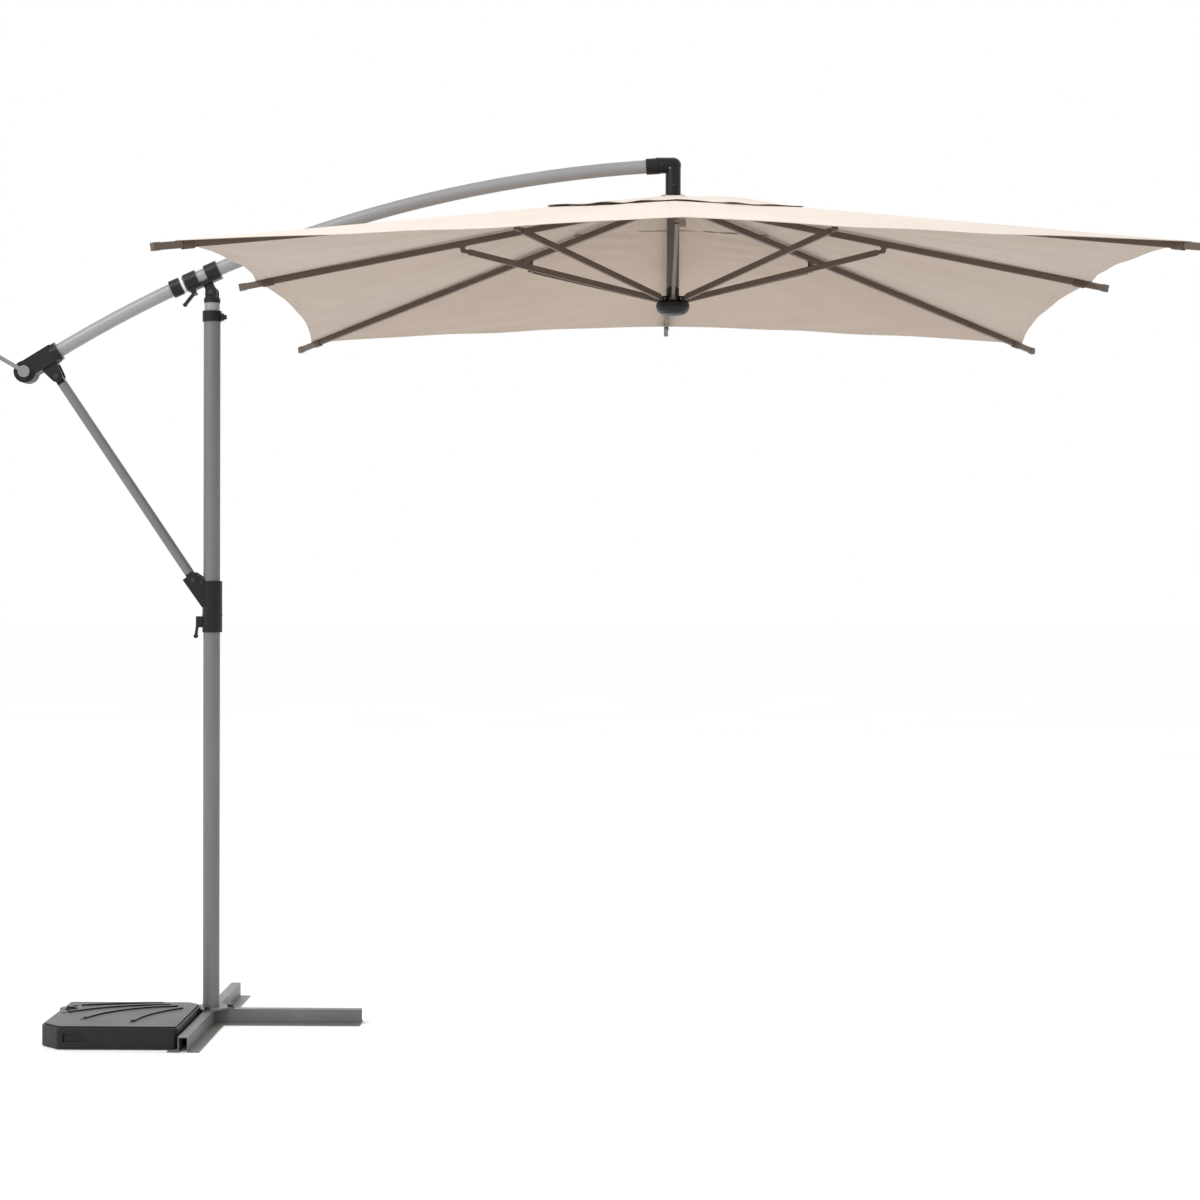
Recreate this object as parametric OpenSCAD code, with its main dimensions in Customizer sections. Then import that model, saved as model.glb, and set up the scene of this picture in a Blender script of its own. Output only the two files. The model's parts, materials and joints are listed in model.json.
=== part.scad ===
// Cantilever parasol: a square canopy hung from an arched boom on a cross base, in millimetres.
// The mast axis is the Z axis, the floor is z = 0, and the canopy lies towards +X.

/* [Base] */
// Length of each cross arm from the mast axis
arm_reach = 436; // [350:550]
// Width of the raised part of each cross bar
bar_width = 28; // [24:40]
// Height of each cross bar
bar_height = 42.5; // [35:55]
// Width of each bottom flange of a cross bar
bar_flange = 30; // [20:35]
// Sheet thickness of the cross bars
bar_wall = 2.5; // [2:0.5:3]
// Side of the square plate under the mast
plate_side = 100; // [90:120]
// Distance of the plate bolts from the mast axis
bolt_radius = 56; // [50:60]
// Side of the ballast slab
slab_side = 385; // [370:405]
// Thickness of the ballast slab
slab_height = 65; // [55:80]

/* [Mast] */
// Outer radius of the mast
mast_radius = 24; // [22:26]
// Height of the mast's upper end
mast_top = 2048; // [2040:2060]
// Height of the pivot that the boom tips about
luff_height = 2112; // [2100:2130]

/* [Boom] */
// Radius of the boom's arc
boom_arc = 3757; // [3700:3800]
// Outer radius of the boom tube
boom_radius = 19.5; // [18:21]
// Distance of the canopy's pole from the mast axis
crown_x = 1330; // [1325:1335]

/* [Canopy] */
// Distance of a middle rib's tip from the pole axis
half_span = 1250; // [1200:1260]
// Slope of the middle ribs in degrees
mid_slope = 11.2; // [11:0.1:12]
// Slope of the corner ribs in degrees
corner_slope = 9.8; // [9.5:0.1:11]
// Slope of the line from a rib's pivot to its stay, in degrees
link_slope = 13.95; // [13.5:0.05:14.5]
// Distance of the stay brackets from the pole axis
stay_reach = 605; // [580:630]
// Width of a rib tube
rib_width = 12; // [10:14]
// Height of a rib tube
rib_height = 18; // [16:20]
// Width of a stay tube
stay_width = 10; // [9:11]
// Height of a stay tube
stay_height = 17; // [14:18]
// Depth of the curve in the fabric edge as a share of the reach
scallop = 0.035; // [0.01:0.005:0.06]
// Half the side of the upper vent layer
vent_half = 350; // [320:400]
// Half the side of the opening that the vent layer covers
opening_half = 290; // [250:300]

/* [Quality] */
// Number of sides on a round surface
round_sides = 48; // [32:4:72]

/* [Hidden] */
$fn = round_sides;
arc_x = crown_x + 168;
arc_z = 2480 - sqrt(boom_arc * boom_arc - 168 * 168);
tail_x = -470;
tail_angle = asin((tail_x - arc_x) / boom_arc);
tip_angle = asin((crown_x - 64 - arc_x) / boom_arc);
elbow_z = 2480;
neck_low = mast_top + 34;
saddle_x = -29;
saddle_angle = asin((saddle_x - arc_x) / boom_arc);
clevis_x = -446;
clevis_z = 1868;
foot_x = -51;
foot_z = 1281;
brace_length = sqrt(pow(foot_x - clevis_x, 2) + pow(clevis_z - foot_z, 2));
brace_angle = atan((foot_x - clevis_x) / (clevis_z - foot_z));
brace_radius = 14;
sleeve_low = 1131;
sleeve_high = 1279;
sleeve_shift = 1.8;
sleeve_bore = mast_radius + 2;
sleeve_radius = mast_radius + 4.5;
crank_x = -537;
crank_z = 1881;
pivot_r = 40;
rib_pivot_z = 2374;
link_run = stay_reach - pivot_r;
link_length = link_run / cos(link_slope);
hub_pivot_z = rib_pivot_z - 2 * link_run * tan(link_slope);
rib_drop = 8;
pin_r = 3;
eye_r = 6.5;
fit = 0.08;
cord_r = 1.7;
slab_low = 2.8;
slab_mid = -20 - slab_side / 2;
plate_cut = plate_side + 4 - 40 * sqrt(2);
fabric_z = rib_pivot_z + 9;
fabric_t = 1.2;
pole_radius = 18;
hem_inset = 45;

// Which node to build, or all of them

// A cylinder along Y, centred on the XZ plane.
module y_rod(r, length) {
    rotate([90, 0, 0])
        cylinder(r = r, h = length, center = true);
}

// A cylinder along X that starts at the origin.
module x_rod(r, length) {
    rotate([0, 90, 0])
        cylinder(r = r, h = length);
}

// A piece of the boom's arc between two angles from the vertical, swept from a circle.
module arc_rod(r, from, to) {
    translate([arc_x, 0, arc_z])
        rotate([90, 0, 0])
            rotate([0, 0, 90 - to])
                rotate_extrude(angle = to - from, $fn = 240)
                    translate([boom_arc, 0])
                        circle(r = r, $fn = round_sides);
}

// Places its children on the boom's centreline, with X along the boom towards the canopy.
module on_boom(angle) {
    translate([arc_x, 0, arc_z])
        rotate([0, angle, 0])
            translate([0, 0, boom_arc])
                children();
}

// Profile of a cross bar: a raised channel, open below, with two flat feet.
module hat_profile() {
    half = bar_width / 2;
    difference() {
        union() {
            translate([-half, 0])
                square([bar_width, bar_height]);
            translate([-half - bar_flange, 0])
                square([bar_width + 2 * bar_flange, bar_wall]);
        }
        translate([-half + bar_wall, -1])
            square([bar_width - 2 * bar_wall, bar_height - bar_wall + 1]);
    }
}

// Four bolt positions on the arms.
module at_bolts() {
    for (a = [0, 90, 180, 270])
        rotate([0, 0, a])
            translate([bolt_radius, 0, 0])
                children();
}

module cross_bar_long() {
    color("#5E5A55")
        difference() {
            rotate([90, 0, 90])
                translate([0, 0, -arm_reach])
                    linear_extrude(height = 2 * arm_reach)
                        hat_profile();
            at_bolts()
                cylinder(r = 5.2, h = 100);
        }
}

module cross_bars_side() {
    reach = bar_width / 2 + 0.2;
    color("#5E5A55")
        for (a = [90, 270])
            difference() {
                rotate([0, 0, a])
                    rotate([90, 0, 90])
                        translate([0, 0, reach])
                            linear_extrude(height = arm_reach - reach)
                                hat_profile();
                translate([-100, -bar_width / 2 - bar_flange - 0.3, -1])
                    cube([200, bar_width + 2 * bar_flange + 0.6, bar_wall + 1.3]);
                at_bolts()
                    cylinder(r = 5.2, h = 100);
            }
}

module tie_plate() {
    color("#5E5A55")
        translate([-45, -bar_width / 2 + bar_wall, 0])
            cube([90, bar_width - 2 * bar_wall, 3]);
}

module mast_plate() {
    color("#5E5A55")
        translate([0, 0, bar_height])
            difference() {
                rotate([0, 0, 45])
                    linear_extrude(height = 5)
                        offset(r = 4)
                            square(plate_side - 8, center = true);
                at_bolts()
                    translate([0, 0, -1])
                        cylinder(r = 5.2, h = 8);
            }
}

module plate_bolts() {
    color("#1C1C1C")
        at_bolts() {
            translate([0, 0, bar_height - 14])
                cylinder(r = 5, h = 19);
            translate([0, 0, bar_height + 5])
                cylinder(r = 10, h = 1.5);
            translate([0, 0, bar_height + 6.5])
                cylinder(r = 8.5, h = 6.5, $fn = 6);
            translate([0, 0, bar_height - bar_wall - 8])
                difference() {
                    cylinder(r = 8.5, h = 8, $fn = 6);
                    translate([0, 0, -1])
                        cylinder(r = 5, h = 10);
                }
        }
}

module mast_tube() {
    color("#77787B")
        translate([0, 0, bar_height + 5])
            difference() {
                cylinder(r = mast_radius, h = mast_top - bar_height - 5);
                translate([0, 0, -1])
                    cylinder(r = mast_radius - 2, h = mast_top);
            }
}

// Outline of the ballast slab, centred: outer corner cut back, inner one clear of the mast plate.
module slab_outline() {
    half = slab_side / 2;
    offset(r = 14)
        offset(delta = -14)
            difference() {
                square(slab_side, center = true);
                translate([-half, -half])
                    rotate([0, 0, 45])
                        square(80, center = true);
                translate([half, half])
                    rotate([0, 0, 45])
                        square(plate_cut, center = true);
            }
}

// Raised curved ridges on the slab's top: where each starts, its heading, radius and sweep.
slab_ridges = [
    [85, 165, 180, 720, 18.5], [108, 142, 182, 380, 45],
    [135, 118, 186, 260, 68], [152, 88, 222, 300, 43]
];

// Places its children at the centre of a ridge's arc, with X through its start.
module on_ridge(s) {
    translate([s[0], s[1], slab_height - 6])
        rotate([0, 0, s[2] - 90])
            translate([-s[3], 0, 0])
                children();
}

module ballast_shell() {
    color("#3A3A3C")
        translate([slab_mid, slab_mid, slab_low])
            difference() {
                union() {
                    linear_extrude(height = slab_height - 9)
                        slab_outline();
                    translate([0, 0, slab_height - 9])
                        linear_extrude(height = 5)
                            offset(delta = -6)
                                slab_outline();
                    for (s = slab_ridges)
                        on_ridge(s)
                            rotate_extrude(angle = s[4], $fn = 180)
                                translate([s[3] - 6, 0])
                                    square([12, 6]);
                }
                translate([0, 0, 4])
                    linear_extrude(height = slab_height - 17)
                        offset(delta = -10)
                            slab_outline();
                translate([-122, -slab_side / 2 - 1, 16])
                    cube([60, 9, 26]);
                translate([-160, 72, slab_height - 30])
                    cylinder(r = 14, h = 40);
                for (s = slab_ridges)
                    on_ridge(s)
                        rotate([0, 0, s[4] + 900 / s[3]])
                            translate([s[3], 0, 0])
                                cylinder(r = 8, h = 10);
            }
}

module ballast_fill() {
    color("#8B8680")
        translate([slab_mid, slab_mid, slab_low + 4.2])
            difference() {
                linear_extrude(height = slab_height - 17.4)
                    offset(delta = -10.2)
                        slab_outline();
                translate([-160, 72, slab_height - 36])
                    cylinder(r = 15, h = 40);
            }
}

module filler_cap() {
    color("#2A2A2B")
        translate([slab_mid - 160, slab_mid + 72, slab_low + slab_height - 28])
            union() {
                cylinder(r = 13.8, h = 24);
                translate([0, 0, 24.1])
                    cylinder(r = 17, h = 4);
                translate([-12, -2, 28])
                    cube([24, 4, 3]);
            }
}

module mast_clamp() {
    color("#1A1A1A")
        translate([0, 0, mast_top - 20])
            difference() {
                union() {
                    cylinder(r = mast_radius + 3.5, h = 30);
                    translate([mast_radius, -9, 3])
                        cube([10, 18, 20]);
                }
                translate([0, 0, -1])
                    cylinder(r = mast_radius, h = 21);
                cylinder(r = mast_radius - 1.8, h = 40);
                translate([15, 0, 13])
                    x_rod(3.1, 40);
            }
}

module clamp_knob() {
    color("#1A1A1A")
        translate([mast_radius + 0.4, 0, mast_top - 7]) {
            x_rod(3, 12);
            translate([10, 0, 0])
                rotate([0, 90, 0])
                    linear_extrude(height = 7)
                        union() {
                            circle(r = 7);
                            square([5, 26], center = true);
                        }
        }
}

module head_tube() {
    color("#C9CACC")
        translate([0, 0, mast_top - 110])
            difference() {
                cylinder(r = mast_radius - 2.1, h = neck_low + 8 - mast_top + 110);
                translate([0, 0, -1])
                    cylinder(r = mast_radius - 4.5, h = 200);
            }
}

module neck() {
    color("#1A1A1A")
        difference() {
            union() {
                translate([0, 0, neck_low])
                    cylinder(r = mast_radius - 0.5, h = 13);
                for (s = [-1, 1])
                    translate([0, s * 15, 0]) {
                        translate([-17, -5, neck_low + 6])
                            cube([34, 10, luff_height - neck_low - 6]);
                        translate([0, 0, luff_height])
                            y_rod(17, 10);
                    }
            }
            translate([0, 0, neck_low - 1])
                cylinder(r = mast_radius - 2.1, h = 9);
            translate([0, 0, luff_height])
                y_rod(5, 80);
        }
}

module luff_pin() {
    color("#B9BABC")
        translate([0, 0, luff_height]) {
            y_rod(5, 41);
            for (s = [-1, 1])
                translate([0, s * 22.2, 0])
                    y_rod(8, 4);
        }
}

module saddle() {
    color("#1A1A1A")
        difference() {
            union() {
                on_boom(saddle_angle)
                    for (x = [-52, 14])
                        translate([x, 0, 0])
                            x_rod(boom_radius + 6, 38);
                on_boom(saddle_angle)
                    translate([-52, -16, -boom_radius - 9])
                        cube([104, 32, 8]);
                on_boom(saddle_angle)
                    for (s = [-1, 1])
                        translate([-46, s * 14 - 2, -boom_radius - 22])
                            cube([12, 4, 16]);
                translate([0, 0, luff_height])
                    y_rod(14, 19);
                on_boom(saddle_angle)
                    translate([-6.6, -9.5, -boom_radius - 35])
                        cube([28, 19, 30]);
            }
            arc_rod(boom_radius + 0.02, saddle_angle - 3, saddle_angle + 3);
            translate([0, 0, luff_height])
                y_rod(5.08, 80);
            on_boom(saddle_angle)
                translate([-40, 0, -boom_radius - 16])
                    y_rod(3, 80);
            on_boom(saddle_angle)
                translate([-13.9, -40, -boom_radius + 2])
                    cube([27.8, 80, 80]);
        }
}

module stop_collar() {
    color("#1A1A1A")
        difference() {
            on_boom(saddle_angle)
                translate([-96, 0, -0.9])
                    x_rod(boom_radius + 6, 30);
            arc_rod(boom_radius + 0.02, saddle_angle - 3, saddle_angle + 3);
        }
}

module slide_washer() {
    color("#E8E8E6")
        difference() {
            on_boom(saddle_angle)
                translate([-62, 0, -0.46])
                    x_rod(boom_radius + 4.5, 6);
            arc_rod(boom_radius + 0.02, saddle_angle - 3, saddle_angle + 3);
        }
}

module saddle_lever() {
    color("#1A1A1A")
        on_boom(saddle_angle)
            translate([-40, 0, -boom_radius - 16]) {
                y_rod(2.92, 34);
                y_rod(5.8, 23);
                rotate([0, 62, 0])
                    translate([-4.5, -5, -44])
                        cube([9, 10, 44]);
                rotate([0, 62, 0])
                    translate([0, 0, -44])
                        y_rod(5.5, 12);
            }
}

module boom_tube() {
    color("#9A9B9E")
        difference() {
            arc_rod(boom_radius, tail_angle, tip_angle);
            arc_rod(boom_radius - 1.5, tail_angle - 1, tip_angle + 1);
        }
}

// Outline of the crank housing in the XZ plane, seen from the side.
module housing_outline() {
    offset(r = 6)
        offset(delta = -6)
            union() {
                translate([crank_x, crank_z])
                    circle(r = 32);
                translate([arc_x, arc_z])
                    rotate([0, 0, -tail_angle])
                        translate([-80, boom_arc - 26])
                            square([102, 52]);
            }
}

module crank_housing() {
    color("#1A1A1A")
        difference() {
            union() {
                rotate([90, 0, 0])
                    linear_extrude(height = 50, center = true)
                        housing_outline();
                on_boom(tail_angle)
                    translate([10, 0, 0])
                        x_rod(boom_radius + 8.5, 22);
            }
            arc_rod(boom_radius + 0.02, tail_angle, tail_angle + 3);
            on_boom(tail_angle)
                translate([-66, -6, -6])
                    cube([66, 12, 24]);
            translate([crank_x, 1.5, crank_z])
                y_rod(25, 30);
            translate([crank_x, 0, crank_z])
                y_rod(5.08, 80);
        }
}

module housing_cover() {
    color("#1A1A1A")
        translate([crank_x, -26.2, crank_z])
            difference() {
                y_rod(26, 2.2);
                y_rod(5.2, 8);
            }
}

module cord_spool() {
    color("#6D6E70")
        translate([crank_x, 1.5, crank_z])
            difference() {
                union() {
                    y_rod(14, 26);
                    for (s = [-1, 1])
                        translate([0, s * 12, 0])
                            y_rod(24, 2.4);
                }
                y_rod(5, 60);
            }
}

module cord_turns() {
    color("#DDDDD8")
        translate([crank_x, 1.5, crank_z])
            difference() {
                y_rod(17.4, 20);
                y_rod(14.02, 30);
            }
}

module crank_arm() {
    color("#8F9092") {
        translate([crank_x, -7, crank_z])
            y_rod(5, 58);
        translate([crank_x, -33, crank_z])
            union() {
                y_rod(17, 8);
                rotate([0, 30, 0])
                    translate([-118, -4, -6])
                        cube([118, 8, 12]);
                rotate([0, 30, 0])
                    translate([-118, 0, 0])
                        y_rod(9, 8);
            }
        translate([crank_x, -33, crank_z])
            rotate([0, 30, 0])
                translate([-118, -32.5, 0])
                    y_rod(4, 57);
    }
}

module crank_knob() {
    color("#1A1A1A")
        translate([crank_x, -33, crank_z])
            rotate([0, 30, 0])
                translate([-118, -4.5, 0])
                    rotate([90, 0, 0])
                        difference() {
                            rotate_extrude()
                                polygon([
                                    [0, 0.3],
                                    [9, 0.3],
                                    [11, 4],
                                    [12, 26],
                                    [11, 44],
                                    [8, 51],
                                    [0, 51]
                                ]);
                            translate([0, 0, -1])
                                cylinder(r = 4.08, h = 60);
                        }
}

module tail_clevis() {
    color("#1A1A1A")
        difference() {
            union() {
                on_boom(tail_angle)
                    translate([-36, -20, -34])
                        cube([45.8, 40, 7.9]);
                for (s = [-1, 1])
                    hull() {
                        translate([clevis_x, s * 17.5, clevis_z])
                            y_rod(17, 5);
                        on_boom(tail_angle)
                            translate([-36, s * 17.5 - 2.5, -34])
                                cube([45.8, 5, 7.9]);
                    }
            }
            translate([clevis_x, 0, clevis_z])
                y_rod(5, 80);
        }
}

module clevis_pin() {
    color("#B9BABC")
        translate([clevis_x, 0, clevis_z]) {
            y_rod(5, 40);
            for (s = [-1, 1])
                translate([0, s * 22, 0])
                    y_rod(8, 4);
        }
}

module elbow() {
    color("#141414")
        difference() {
            union() {
                on_boom(tip_angle)
                    translate([-14, 0, 0])
                        x_rod(23.3, 40);
                translate([crown_x - 50, 0, elbow_z - 0.6])
                    x_rod(23, 50);
                translate([crown_x, 0, elbow_z - 0.6])
                    sphere(r = 23);
                translate([crown_x, 0, rib_pivot_z + 17])
                    cylinder(r = 22, h = elbow_z - rib_pivot_z - 17);
            }
            arc_rod(boom_radius + 0.02, tip_angle - 2, tip_angle);
            translate([crown_x - 70, 0, elbow_z - 1])
                x_rod(7, 70);
            translate([crown_x, 0, rib_pivot_z])
                cylinder(r = 7, h = elbow_z - rib_pivot_z - 1);
            translate([crown_x, 0, rib_pivot_z + 10])
                cylinder(r = pole_radius + 0.02, h = 38);
            translate([crown_x - 10, 0, elbow_z - 11])
                y_rod(12.4, 10);
            translate([crown_x - 10, 0, elbow_z - 11])
                y_rod(3, 60);
        }
}

module pulley() {
    color("#D8D8D4")
        translate([crown_x - 10, 0, elbow_z - 11])
            rotate([90, 0, 0])
                difference() {
                    cylinder(r = 11.6, h = 8, center = true);
                    rotate_extrude()
                        translate([10, 0])
                            circle(r = 2.6, $fn = 24);
                    cylinder(r = 3.08, h = 20, center = true);
                }
}

module pulley_axle() {
    color("#B9BABC")
        translate([crown_x - 10, 0, elbow_z - 11])
            y_rod(3, 44);
}

module pole() {
    color("#5A5A5C")
        translate([crown_x, 0, hub_pivot_z + 36])
            difference() {
                cylinder(r = pole_radius, h = rib_pivot_z + 46 - hub_pivot_z - 36);
                translate([0, 0, -1])
                    cylinder(r = pole_radius - 1.5, h = 500);
            }
}

// Eight directions about the pole, with the ribs' own numbers.
module around_pole(z) {
    for (k = [0 : 7])
        translate([crown_x, 0, z])
            rotate([0, 0, 45 * k])
                children();
}

// Two lugs that hold an eye between them at the pivot radius.
module lug_pair(root) {
    for (s = [-1, 1])
        translate([0, s * 4.8, 0]) {
            translate([pivot_r, 0, 0])
                y_rod(7, 3);
            translate([root, -1.5, -7])
                cube([pivot_r - root, 3, 14]);
        }
}

module crown() {
    color("#2A2723")
        difference() {
            union() {
                translate([crown_x, 0, rib_pivot_z - 9])
                    cylinder(r = 30, h = 17);
                around_pole(rib_pivot_z)
                    lug_pair(26);
            }
            translate([crown_x, 0, rib_pivot_z - 20])
                cylinder(r = pole_radius + 0.02, h = 60);
            around_pole(rib_pivot_z)
                translate([pivot_r, 0, 0])
                    y_rod(pin_r, 30);
        }
}

// A headed pin across a pair of lugs.
module lug_pin() {
    translate([pivot_r, 0, 0]) {
        y_rod(pin_r, 13);
        for (s = [-1, 1])
            translate([0, s * 7.1, 0])
                y_rod(4.4, 1.4);
    }
}

module crown_pins() {
    color("#B9BABC")
        around_pole(rib_pivot_z)
            lug_pin();
}

module crown_cap() {
    color("#1A1A1A")
        translate([crown_x, 0, rib_pivot_z + 13.4])
            difference() {
                cylinder(r = 37, h = 3.4);
                translate([0, 0, -1])
                    cylinder(r = pole_radius + 0.1, h = 10);
            }
}

// Route of the hoist cord in the XZ plane, as x, z and direction in degrees.
cord_route = concat(
    [
        [
            arc_x + (boom_arc + 16) * sin(tail_angle) - 82 * cos(tail_angle),
            arc_z + (boom_arc + 16) * cos(tail_angle) + 82 * sin(tail_angle),
            -tail_angle - 11
        ]
    ],
    [
        for (i = [0 : 24])
            let (b = tail_angle + (tip_angle + 0.7 - tail_angle) * i / 24)
            [arc_x + boom_arc * sin(b), arc_z + boom_arc * cos(b), i == 0 ? -b - 5.5 : -b]
    ],
    [
        for (q = [85 : -17 : 0])
            [crown_x - 10 + 10 * cos(q), elbow_z - 11 + 10 * sin(q), q - 90]
    ],
    [[crown_x, hub_pivot_z + 14, -90]]
);

// A thin round tube swept along a route.
module swept_cord(route, r, sides) {
    n = len(route);
    points = [
        for (p = route)
            for (j = [0 : sides - 1])
                let (u = r * cos(360 * j / sides), v = r * sin(360 * j / sides))
                [p[0] - u * sin(p[2]), v, p[1] + u * cos(p[2])]
    ];
    sides_of = [
        for (i = [0 : n - 2])
            for (j = [0 : sides - 1])
                for (h = [0, 1])
                    let (a = i * sides + j, b = i * sides + (j + 1) % sides)
                    h == 0 ? [a, b, b + sides] : [a, b + sides, a + sides]
    ];
    ends = [
        [for (j = [sides - 1 : -1 : 0]) j],
        [for (j = [0 : sides - 1]) (n - 1) * sides + j]
    ];
    polyhedron(points = points, faces = concat(sides_of, ends), convexity = 10);
}

module hoist_cord() {
    color("#DDDDD8")
        swept_cord(cord_route, cord_r, 8);
}

module hub() {
    color("#141414")
        difference() {
            union() {
                translate([crown_x, 0, hub_pivot_z - 10])
                    cylinder(r = 30, h = 19);
                translate([crown_x, 0, hub_pivot_z + 9])
                    cylinder(r = pole_radius, h = 24);
                translate([crown_x, 0, hub_pivot_z])
                    rotate_extrude()
                        polygon([
                            [0, -10],
                            [46, -10],
                            [48, -13],
                            [48, -24],
                            [44, -34],
                            [34, -42],
                            [18, -46],
                            [0, -46]
                        ]);
                around_pole(hub_pivot_z)
                    lug_pair(26);
            }
            translate([crown_x, 0, hub_pivot_z + 5])
                cylinder(r = 4, h = 60);
            around_pole(hub_pivot_z)
                translate([pivot_r, 0, 0])
                    y_rod(pin_r, 30);
        }
}

module hub_pins() {
    color("#B9BABC")
        around_pole(hub_pivot_z)
            lug_pin();
}

// Places its children at the brace's upper pin, with -Z along the brace to its foot.
module on_brace() {
    translate([clevis_x, 0, clevis_z])
        rotate([0, -brace_angle, 0])
            children();
}

module brace_tube() {
    color("#85868A")
        on_brace()
            translate([0, 0, -brace_length + 24])
                difference() {
                    cylinder(r = brace_radius, h = brace_length - 48);
                    translate([0, 0, -1])
                        cylinder(r = brace_radius - 1.5, h = brace_length);
                }
}

module brace_ends() {
    color("#1A1A1A")
        on_brace()
            for (z = [0, -brace_length])
                translate([0, 0, z])
                    difference() {
                        union() {
                            y_rod(13.5, 29.4);
                            translate([0, 0, z == 0 ? -50 : 12])
                                cylinder(r = brace_radius - 1.52, h = 38);
                            translate([-12, -12, z == 0 ? -23.9 : 6])
                                cube([24, 24, 17.9]);
                        }
                        y_rod(5.08, 80);
                    }
}

module sleeve() {
    color("#161616")
        difference() {
            union() {
                translate([sleeve_shift, 0, sleeve_low])
                    cylinder(r = sleeve_radius, h = sleeve_high - sleeve_low);
                translate([sleeve_shift, 0, sleeve_low + 48])
                    cylinder(r = sleeve_radius + 1, h = 4);
                for (s = [-1, 1]) {
                    translate([foot_x, s * 17.5, foot_z])
                        y_rod(17, 5);
                    translate([foot_x, s * 17.5, foot_z])
                        rotate([90, 0, 0])
                            linear_extrude(height = 5, center = true)
                                polygon([[-30, 1], [4, 24], [28, 8], [36, -4], [36, -78], [26, -78]]);
                }
                translate([foot_x + 18, -20, foot_z - 66])
                    cube([20, 40, 20]);
                translate([-44, -11, sleeve_low + 14])
                    cube([24, 22, 32]);
            }
            translate([sleeve_shift, 0, sleeve_low - 10])
                cylinder(r = sleeve_bore, h = 300);
            translate([foot_x, 0, foot_z])
                y_rod(5, 80);
            translate([-50, -7.3, sleeve_low + 4])
                cube([30, 14.6, 52]);
            translate([-38, 0, sleeve_low + 24])
                y_rod(3, 80);
        }
}

module foot_pin() {
    color("#B9BABC")
        translate([foot_x, 0, foot_z]) {
            y_rod(5, 40);
            for (s = [-1, 1])
                translate([0, s * 22, 0])
                    y_rod(8, 4);
        }
}

module sleeve_lever() {
    color("#161616")
        translate([-38, 0, sleeve_low + 24])
            union() {
                y_rod(2.92, 22);
                y_rod(6.4, 14);
                rotate([0, 8, 0])
                    translate([-6, -7, -36])
                        cube([7, 14, 36]);
                rotate([0, 8, 0])
                    translate([-2.5, 0, -36])
                        y_rod(6, 14);
            }
}

// Slope of rib k, whose even numbers are the middle ones.
function slope_of(k) = k % 2 == 0 ? mid_slope : corner_slope;

// Distance of rib k's tip from the pole axis.
function reach_of(k) = k % 2 == 0 ? half_span : half_span * sqrt(2);

// One rib in its own frame: the pivot is the origin and X runs along the tube.
module rib_piece(k) {
    length = (reach_of(k) - pivot_r) / cos(slope_of(k));
    bx = link_length * cos(link_slope - slope_of(k));
    bz = -link_length * sin(link_slope - slope_of(k));
    low = -rib_drop - rib_height / 2;
    color("#5E5046") {
        translate([16, 0, -rib_drop])
            rotate([90, 0, 90])
                linear_extrude(height = length - 16)
                    difference() {
                        offset(r = 1.5)
                            square([rib_width - 3, rib_height - 3], center = true);
                        square([rib_width - 2, rib_height - 2], center = true);
                    }
        difference() {
            union() {
                y_rod(eye_r, 6);
                translate([0, -3, -6.5])
                    cube([22, 6, 5.5]);
                translate([10, -3, -14])
                    cube([12, 6, 8]);
                translate([18, -rib_width / 2 + 1, -rib_drop - rib_height / 2 + 1])
                    cube([26, rib_width - 2, rib_height - 2]);
            }
            y_rod(pin_r + fit, 20);
        }
        difference() {
            union() {
                translate([bx - 12, -6, low - 2])
                    cube([24, 12, 2]);
                for (s = [-1, 1])
                    translate([bx, s * 4.7, 0]) {
                        translate([-7, -1.3, bz])
                            cube([14, 2.6, low - 1 - bz]);
                        translate([0, 0, bz])
                            y_rod(7, 2.6);
                    }
            }
            translate([bx, 0, bz])
                y_rod(pin_r, 40);
        }
        translate([bx, 0, bz]) {
            y_rod(pin_r, 12);
            for (s = [-1, 1])
                translate([0, s * 6.7, 0])
                    y_rod(4.4, 1.4);
        }
        translate([length - 16, 0, -rib_drop])
            difference() {
                translate([0, -rib_width / 2 - 1, -rib_height / 2 - 1])
                    cube([19, rib_width + 2, rib_height + 2]);
                translate([-1, -rib_width / 2, -rib_height / 2])
                    cube([17, rib_width, rib_height]);
            }
    }
}

// Rib k in its place on the crown.
module rib_at(k) {
    translate([crown_x, 0, rib_pivot_z])
        rotate([0, 0, 45 * k])
            translate([pivot_r, 0, 0])
                rotate([0, slope_of(k), 0])
                    rib_piece(k);
}

// Stay k in its place, from the hub up and out to its rib.
module stay_at(k) {
    color("#5E5046")
        translate([crown_x, 0, hub_pivot_z])
            rotate([0, 0, 45 * k])
                translate([pivot_r, 0, 0])
                    rotate([0, -link_slope, 0]) {
                        translate([16, 0, 0])
                            rotate([90, 0, 90])
                                linear_extrude(height = link_length - 32)
                                    difference() {
                                        offset(r = 1.5)
                                            square([stay_width - 3, stay_height - 3], center = true);
                                        square([stay_width - 2, stay_height - 2], center = true);
                                    }
                        for (e = [0, 1])
                            translate([e * link_length, 0, 0])
                                difference() {
                                    union() {
                                        y_rod(eye_r, 6);
                                        translate([e == 0 ? 0 : -22, -3, -5.5])
                                            cube([22, 6, 11]);
                                        translate([e == 0 ? 18 : -40, 1 - stay_width / 2, 0])
                                            translate([0, 0, 1 - stay_height / 2])
                                                cube([22, stay_width - 2, stay_height - 2]);
                                    }
                                    y_rod(pin_r + fit, 20);
                                }
                    }
}

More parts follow.
